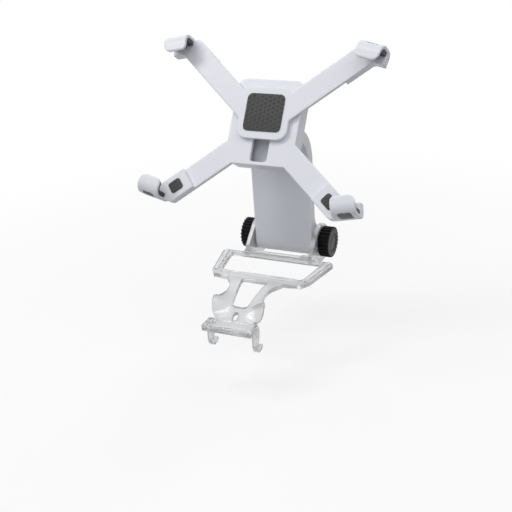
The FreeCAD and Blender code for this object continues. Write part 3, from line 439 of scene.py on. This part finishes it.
def metal(name, colour, deeper, roughness):
    """Bare metal with a fine grain."""
    material = finish(name, colour, deeper, roughness, METAL_SPREAD, METAL_GRAIN, METAL_BUMP)
    material.node_tree.nodes["Principled BSDF"].inputs["Metallic"].default_value = 1.0
    return material


white_plastic = finish("white_plastic", WHITE, WHITE_DEEPER, WHITE_ROUGHNESS, WHITE_SPREAD,
                       WHITE_GRAIN, WHITE_BUMP)
screw_steel = metal("screw_steel", STEEL, STEEL_DEEPER, STEEL_ROUGHNESS)
dress(white_plastic, "arm_front_shell", "arm_rear_cover")
dress(screw_steel, "arm_screws")
moulded("arm_front_shell", SHELL_CELL, passes=3)
moulded("arm_rear_cover", COVER_CELL, passes=3)
round_edges("arm_screws", SCREW_EDGE)

# Hinge hardware. A steel bolt runs through both ears, the arm's steel sleeve and a black
# friction washer at each side. A brass nut in the right knob takes its thread.
HARDWARE_EDGE = 0.00012
BRASS = (0.72, 0.52, 0.24)
BRASS_DEEPER = (0.62, 0.44, 0.2)
BRASS_ROUGHNESS = 0.32

brass = metal("nut_brass", BRASS, BRASS_DEEPER, BRASS_ROUGHNESS)
dress(screw_steel, "pivot_bolt", "pivot_sleeve")
dress(brass, "knob_nut")
for name in ("pivot_bolt", "pivot_sleeve", "knob_nut"):
    round_edges(name, HARDWARE_EDGE)

# Clamp knobs. Each is a ribbed drum of black plastic with its end painted lighter grey as
# painted light, and a grey disc pressed into that end, over the bolt's head or the nut.
KNOB_EDGE = 0.0002
CAP_EDGE = 0.00012
RIB_BLACK = (0.003, 0.003, 0.0034)
RIB_DEEPER = (0.0055, 0.0055, 0.006)
RIB_ROUGHNESS = 0.4
RIB_SHINE = 0.1             # specular level of the ribs and the grooves between them
# Painted light: the knob's end face is painted this lighter grey, where the lamps fall on it.
END_PAINTED_LIGHT_GREY = (0.052, 0.052, 0.054)
END_PAINTED_LIGHT_DEPTH = 0.0002          # the painted light on the end reaches this far in
CAP_GREY = (0.027, 0.027, 0.029)
CAP_DEEPER = (0.022, 0.022, 0.024)
CAP_ROUGHNESS = 0.5
KNOB_SPREAD = 0.06
KNOB_GRAIN = 1200
KNOB_BUMP = 0.2

rib_black = finish("knob_black", RIB_BLACK, RIB_DEEPER, RIB_ROUGHNESS, KNOB_SPREAD, KNOB_GRAIN, KNOB_BUMP)
tree = rib_black.node_tree
tree.nodes["Principled BSDF"].inputs["Specular IOR Level"].default_value = RIB_SHINE
# The end face of each knob is painted lighter grey: painted light from the lamps.
outwards = arithmetic(tree, "ABSOLUTE", coordinates(tree, own_place(tree))["X"])
end_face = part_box("right_knob")[1].x
repainted(rib_black, arithmetic(tree, "GREATER_THAN", outwards, end_face - END_PAINTED_LIGHT_DEPTH), END_PAINTED_LIGHT_GREY)
cap_grey = finish("cap_grey", CAP_GREY, CAP_DEEPER, CAP_ROUGHNESS, KNOB_SPREAD, KNOB_GRAIN, KNOB_BUMP)
dress(rib_black, "left_knob", "right_knob", "friction_washers")
dress(cap_grey, "left_knob_cap", "right_knob_cap")
for name in ("left_knob", "right_knob"):
    round_edges(name, KNOB_EDGE)
for name in ("left_knob_cap", "right_knob_cap", "friction_washers"):
    round_edges(name, CAP_EDGE)

# Claw bracket and carriage. Two white mouldings, each with two arms of the X and a claw
# at the end of each arm. The lower one is fixed, and the upper one slides.
CLAW_CELL = 0.00036

dress(white_plastic, "lower_bracket", "upper_carriage")
moulded("lower_bracket", CLAW_CELL, passes=4)
moulded("upper_carriage", CLAW_CELL, passes=4)

# Rear housing. A white cover over the slide, held to the bracket by four screws, with
# two more that hold it to the arm.
HOUSING_CELL = 0.00036

dress(white_plastic, "rear_housing")
dress(screw_steel, "housing_screws", "neck_screws")
moulded("rear_housing", HOUSING_CELL, passes=4)
round_edges("housing_screws", SCREW_EDGE)
round_edges("neck_screws", SCREW_EDGE)

# Slide. A white block, screwed to the carriage, runs on two steel rods, and a wire
# spring on each rod pushes it down so that the upper claws grip. Each spring has closed
# end turns. In use it shortens and lengthens with the slide; here it is built at one length.
BLOCK_CELL = 0.00026
WIRE_R = 0.0003
WIRE_SIDES = 12
SPRING_TURNS = 9
TURN_STEPS = 24             # straight pieces in one turn
CLOSED_PITCH = 0.00064      # rise of one closed turn
CLOSED_TURNS = 0.8          # closed turns at each end
OPENING_TURNS = 0.4         # turns over which they open
SPRING_STEEL = (0.60, 0.60, 0.62)
SPRING_DEEPER = (0.5, 0.5, 0.52)
SPRING_ROUGHNESS = 0.22

slide = next(joint for joint in frame["joints"] if joint["name"] == "jaw_slide")
across = Vector((1, 0, 0))
slide_up = Vector(slide["axis"]).normalized()
forwards = across.cross(slide_up)
holder = Matrix((across, slide_up, forwards)).transposed().to_4x4()


def extent(name, axes):
    """Lowest and highest corner of a node along other axes."""
    back = axes.inverted()
    points = [back @ vertex.co for vertex in nodes[name].data.vertices]
    low = Vector([min(point[i] for point in points) for i in range(3)])
    high = Vector([max(point[i] for point in points) for i in range(3)])
    return low, high


def node_group(name, inputs):
    """New Geometry Nodes tree, the values that it is given, and the socket of its result."""
    tree = bpy.data.node_groups.new(name, "GeometryNodeTree")
    tree.interface.new_socket("Geometry", in_out="INPUT", socket_type="NodeSocketGeometry")
    for label, kind in inputs:
        tree.interface.new_socket(label, in_out="INPUT", socket_type="NodeSocket" + kind)
    tree.interface.new_socket("Geometry", in_out="OUTPUT", socket_type="NodeSocketGeometry")
    given = tree.nodes.new("NodeGroupInput").outputs
    return tree, given, tree.nodes.new("NodeGroupOutput").inputs["Geometry"]


def round_bar(tree, line, radius, sides):
    """Round bar along a line."""
    section = tree.nodes.new("GeometryNodeCurvePrimitiveCircle")
    section.inputs["Resolution"].default_value = sides
    bar = tree.nodes.new("GeometryNodeCurveToMesh")
    bar.inputs["Fill Caps"].default_value = True
    tree.links.new(radius, section.inputs["Radius"])
    tree.links.new(line, bar.inputs["Curve"])
    tree.links.new(section.outputs["Curve"], bar.inputs["Profile Curve"])
    return bar.outputs["Mesh"]


def end_tree(tree, made, material, result):
    """Makes real geometry of what a tree made, in its material, and gives it as the result."""
    real = tree.nodes.new("GeometryNodeRealizeInstances")
    dressed = tree.nodes.new("GeometryNodeSetMaterial")
    tree.links.new(made, real.inputs["Geometry"])
    tree.links.new(real.outputs["Geometry"], dressed.inputs["Geometry"])
    tree.links.new(material, dressed.inputs["Material"])
    tree.links.new(dressed.outputs["Geometry"], result)


def wire_tree():
    """Round wire along a path."""
    tree, given, result = node_group("spring_wire", [("Radius", "Float"), ("Steel", "Material")])
    path = tree.nodes.new("GeometryNodeMeshToCurve")
    tree.links.new(given["Geometry"], path.inputs["Mesh"])
    wire = round_bar(tree, path.outputs["Curve"], given["Radius"], WIRE_SIDES)
    end_tree(tree, wire, given["Steel"], result)
    return tree


def grown(tree, points, values, axes):
    """Plain mesh that a Geometry Nodes tree makes from a line of points, set on those axes."""
    mesh = bpy.data.meshes.new("path")
    mesh.from_pydata(points, [(i, i + 1) for i in range(len(points) - 1)], [])
    item = bpy.data.objects.new("path", mesh)
    scene.collection.objects.link(item)
    modifier = item.modifiers.new("grown", "NODES")
    modifier.node_group = tree
    sockets = {socket.name: socket.identifier for socket in tree.interface.items_tree
               if socket.in_out == "INPUT"}
    for label, value in values.items():
        modifier[sockets[label]] = value
    bpy.context.view_layer.update()
    graph = bpy.context.evaluated_depsgraph_get()
    result = bpy.data.meshes.new_from_object(item.evaluated_get(graph))
    bpy.data.objects.remove(item)
    result.transform(axes)
    return result


def one_piece(name, meshes, material):
    """All those meshes as one object with that finish."""
    whole = bmesh.new()
    for mesh in meshes:
        whole.from_mesh(mesh)
    result = bpy.data.meshes.new(name)
    whole.to_mesh(result)
    whole.free()
    result.materials.append(material)
    result.shade_smooth()
    item = bpy.data.objects.new(name, result)
    scene.collection.objects.link(item)
    return item


def coil_path(low, high):
    """Helix about the second axis whose first and last turn lie closed on the next one."""
    middle = (low + high) / 2
    radius = (high.x - low.x) / 2 - WIRE_R
    steps = SPRING_TURNS * TURN_STEPS
    turns = [(i + 0.5) / TURN_STEPS for i in range(steps)]
    from_end = [min(turn, SPRING_TURNS - turn) for turn in turns]
    opening = [min(max(turn - CLOSED_TURNS, 0) / OPENING_TURNS, 1) for turn in from_end]
    closed = CLOSED_PITCH / TURN_STEPS
    rise = (high.y - low.y - 2 * WIRE_R - closed * steps) / sum(opening)
    heights = [low.y + WIRE_R]
    for share in opening:
        heights.append(heights[-1] + (closed + rise * share))
    points = []
    for i, height in enumerate(heights):
        angle = 2 * math.pi * i / TURN_STEPS
        points.append((middle.x + radius * math.cos(angle), height, middle.z + radius * math.sin(angle)))
    return points


spring_steel = metal("spring_steel", SPRING_STEEL, SPRING_DEEPER, SPRING_ROUGHNESS)
dress(white_plastic, "slider_block")
dress(screw_steel, "slider_screws", "guide_rods")
moulded("slider_block", BLOCK_CELL, passes=2)
round_edges("slider_screws", SCREW_EDGE)
round_edges("guide_rods", SCREW_EDGE)
wire_along = wire_tree()
for side_name in ("left", "right"):
    low, high = extent(f"{side_name}_spring", holder)
    coil = grown(wire_along, coil_path(low, high), {"Radius": WIRE_R, "Steel": spring_steel}, holder)
    spring = one_piece(f"{side_name}_coil_spring", [coil], spring_steel)
    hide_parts(f"{side_name}_spring")
    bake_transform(spring)

# Claw liners. Dark rubber in the bend of each claw, from its shelf round to its lip and
# out through its window, with fine ribs across it that follow the bend.
LINER_CELL = 0.0002
CLAW_TURN = 12.0            # degrees that each claw is turned outwards
LIP_REACH = 0.00487         # from the rubber on the shelf to the liner's tip
LIP_LINER = 0.0014          # thickness of the rubber on the lip
LINER_BEND_R = 0.00217      # inner radius of the rubber in the bend
BEND_STEPS = 8
RIB_PITCH = 0.001
RIB_R = 0.00028
RIB_SIDES = 10
RIB_SUNK = 0.00012          # how deep a rib's middle lies in the rubber
RIB_SHORT = 0.0009          # from a rib's end to the side of the liner
RIB_END = 0.0007            # from the first and the last rib to the liner's edges
RUBBER = (0.042, 0.042, 0.042)
RUBBER_PALER = (0.058, 0.058, 0.057)
RUBBER_ROUGHNESS = 0.7
RUBBER_SPREAD = 0.1
RUBBER_GRAIN = 1800
RUBBER_BUMP = 0.6
PLUG_SHEEN_DEPTH = 0.0014          # how deep the plug's painted sheen goes
# Painted sheen: the plug's outer skin is painted this paler grey, a painted reflection.
PLUG_PAINTED_SHEEN_GREY = (0.17, 0.17, 0.168)


def rib_tree():
    """Rounded ribs side by side along a path, as long as the input says."""
    tree, given, result = node_group("liner_ribs", [
        ("Length", "Float"), ("Radius", "Float"), ("Pitch", "Float"), ("Rubber", "Material")])
    new, link = tree.nodes.new, tree.links.new
    path = new("GeometryNodeMeshToCurve")
    spaced = new("GeometryNodeResampleCurve")
    spaced.mode = "LENGTH"
    left_end = new("ShaderNodeCombineXYZ")
    right_end = new("ShaderNodeCombineXYZ")
    core = new("GeometryNodeCurvePrimitiveLine")
    ribs = new("GeometryNodeInstanceOnPoints")
    link(given["Geometry"], path.inputs["Mesh"])
    link(path.outputs["Curve"], spaced.inputs["Curve"])
    link(given["Pitch"], spaced.inputs["Length"])
    link(arithmetic(tree, "MULTIPLY", given["Length"], -0.5), left_end.inputs["X"])
    link(arithmetic(tree, "MULTIPLY", given["Length"], 0.5), right_end.inputs["X"])
    link(left_end.outputs["Vector"], core.inputs["Start"])
    link(right_end.outputs["Vector"], core.inputs["End"])
    link(spaced.outputs["Curve"], ribs.inputs["Points"])
    link(round_bar(tree, core.outputs["Curve"], given["Radius"], RIB_SIDES), ribs.inputs["Instance"])
    end_tree(tree, ribs.outputs["Instances"], given["Rubber"], result)
    return tree


def claw_axes(side, level):
    """Axes of one claw: along its width, inwards over what it grips, and forwards."""
    turn = side * CLAW_TURN if level == "lower" else 180.0 - side * CLAW_TURN
    return holder @ Matrix.Rotation(math.radians(turn), 4, "Z")


def liner_path(low, high):
    """Line along a liner's inner face: up the shelf, round the bend and out on the lip."""
    shelf = high.y - LIP_REACH - RIB_SUNK
    lip = high.z - LIP_LINER + RIB_SUNK
    bend = LINER_BEND_R + RIB_SUNK
    middle = (low.x + high.x) / 2
    points = [(middle, shelf, low.z + RIB_END)]
    for step in range(BEND_STEPS + 1):
        turn = math.pi / 2 * step / BEND_STEPS
        points.append((middle, shelf + bend * (1 - math.cos(turn)), lip - bend * (1 - math.sin(turn))))
    points.append((middle, high.y - RIB_END, lip))
    return points


def grip_rubber(name):
    """Dull dark rubber with a clear grain."""
    return finish(name, RUBBER, RUBBER_PALER, RUBBER_ROUGHNESS, RUBBER_SPREAD, RUBBER_GRAIN, RUBBER_BUMP)


def liner_rubber(name, axes, plug_face):
    """Grip rubber whose plug, in the window of that claw, has its outer skin painted paler, a painted
    sheen.
    """
    material = grip_rubber(name)
    tree = material.node_tree
    turned = tree.nodes.new("ShaderNodeMapping")
    turned.inputs["Rotation"].default_value = axes.to_3x3().inverted().to_euler()
    tree.links.new(own_place(tree), turned.inputs["Vector"])
    inwards = coordinates(tree, turned.outputs["Vector"])["Y"]
    # The plug's outer skin is painted paler: a painted sheen.
    repainted(material, arithmetic(tree, "LESS_THAN", inwards, plug_face + PLUG_SHEEN_DEPTH), PLUG_PAINTED_SHEEN_GREY)
    return material


rubber = grip_rubber("grip_rubber")
ribs_along = rib_tree()
for level, body in (("lower", "arm"), ("upper", "jaw")):
    meshes = []
    for side_name, side in (("left", -1), ("right", 1)):
        liner = f"{level}_{side_name}_liner"
        axes = claw_axes(side, level)
        low, high = extent(liner, axes)
        dress(liner_rubber(f"{liner}_rubber", axes, low.y), liner)
        moulded(liner, LINER_CELL, passes=2)
        values = {"Length": high.x - low.x - 2 * RIB_SHORT, "Radius": RIB_R, "Pitch": RIB_PITCH,
                  "Rubber": rubber}
        meshes.append(grown(ribs_along, liner_path(low, high), values, axes))
    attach(one_piece(f"{level}_liner_ribs", meshes, rubber), body)

# Back pads. Dark rubber pads on the front of the X, one on the carriage and one on each
# lower arm, with staggered rows of small round dots moulded on them.
PAD_EDGE = 0.0002
PAD_TURN = 50.4             # degrees that each lower pad is turned
DOT_PITCH = 0.0024
DOT_R = 0.0008
DOT_HEIGHT = 0.00035
DOT_MARGIN = 0.0013         # from the middle of the outer dots to the pad's edge
DOT_SEGMENTS = 14
DOT_RINGS = 8


def dot_tree():
    """Low round dots on a flat grid, every second column moved by half a pitch."""
    tree, given, result = node_group("grip_dots", [
        ("Width", "Float"), ("Height", "Float"), ("Columns", "Int"), ("Rows", "Int"),
        ("Stagger", "Float"), ("Dot Radius", "Float"), ("Dot Height", "Float"), ("Rubber", "Material")])
    new, link = tree.nodes.new, tree.links.new
    grid = new("GeometryNodeMeshGrid")
    index = new("GeometryNodeInputIndex")
    shift = new("ShaderNodeCombineXYZ")
    moved = new("GeometryNodeSetPosition")
    ball = new("GeometryNodeMeshUVSphere")
    ball.inputs["Segments"].default_value = DOT_SEGMENTS
    ball.inputs["Rings"].default_value = DOT_RINGS
    flattened = new("ShaderNodeCombineXYZ")
    dot = new("GeometryNodeTransform")
    dots = new("GeometryNodeInstanceOnPoints")
    link(given["Width"], grid.inputs["Size X"])
    link(given["Height"], grid.inputs["Size Y"])
    link(given["Columns"], grid.inputs["Vertices X"])
    link(given["Rows"], grid.inputs["Vertices Y"])
    column = arithmetic(tree, "FLOOR", arithmetic(tree, "DIVIDE", index.outputs["Index"], given["Rows"]))
    side = arithmetic(tree, "SUBTRACT", arithmetic(tree, "MODULO", column, 2), 0.5)
    link(arithmetic(tree, "MULTIPLY", side, given["Stagger"]), shift.inputs["Y"])
    link(grid.outputs["Mesh"], moved.inputs["Geometry"])
    link(shift.outputs["Vector"], moved.inputs["Offset"])
    link(given["Dot Radius"], flattened.inputs["X"])
    link(given["Dot Radius"], flattened.inputs["Y"])
    link(given["Dot Height"], flattened.inputs["Z"])
    link(ball.outputs["Mesh"], dot.inputs["Geometry"])
    link(flattened.outputs["Vector"], dot.inputs["Scale"])
    link(moved.outputs["Geometry"], dots.inputs["Points"])
    link(dot.outputs["Geometry"], dots.inputs["Instance"])
    end_tree(tree, dots.outputs["Instances"], given["Rubber"], result)
    return tree


def dots_on(pad, turn):
    """Dots all over a pad's front face."""
    axes = holder @ Matrix.Rotation(math.radians(turn), 4, "Z")
    low, high = extent(pad, axes)
    width = high.x - low.x - 2 * DOT_MARGIN
    height = high.y - low.y - 2 * DOT_MARGIN - DOT_PITCH / 2
    middle = Matrix.Translation(((low.x + high.x) / 2, (low.y + high.y) / 2, high.z))
    values = {"Width": width, "Height": height, "Columns": round(width / DOT_PITCH) + 1,
              "Rows": round(height / DOT_PITCH) + 1, "Stagger": DOT_PITCH / 2, "Dot Radius": DOT_R,
              "Dot Height": DOT_HEIGHT, "Rubber": rubber}
    return grown(dots_over, [(0, 0, 0)], values, axes @ middle)


dots_over = dot_tree()
for pad in ("upper_back_pad", "lower_left_back_pad", "lower_right_back_pad"):
    dress(rubber, pad)
    round_edges(pad, PAD_EDGE)
upper_dots = [dots_on("upper_back_pad", 0)]
lower_dots = [dots_on("lower_right_back_pad", PAD_TURN), dots_on("lower_left_back_pad", -PAD_TURN)]
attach(one_piece("upper_pad_dots", upper_dots, rubber), "jaw")
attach(one_piece("lower_pad_dots", lower_dots, rubber), "arm")
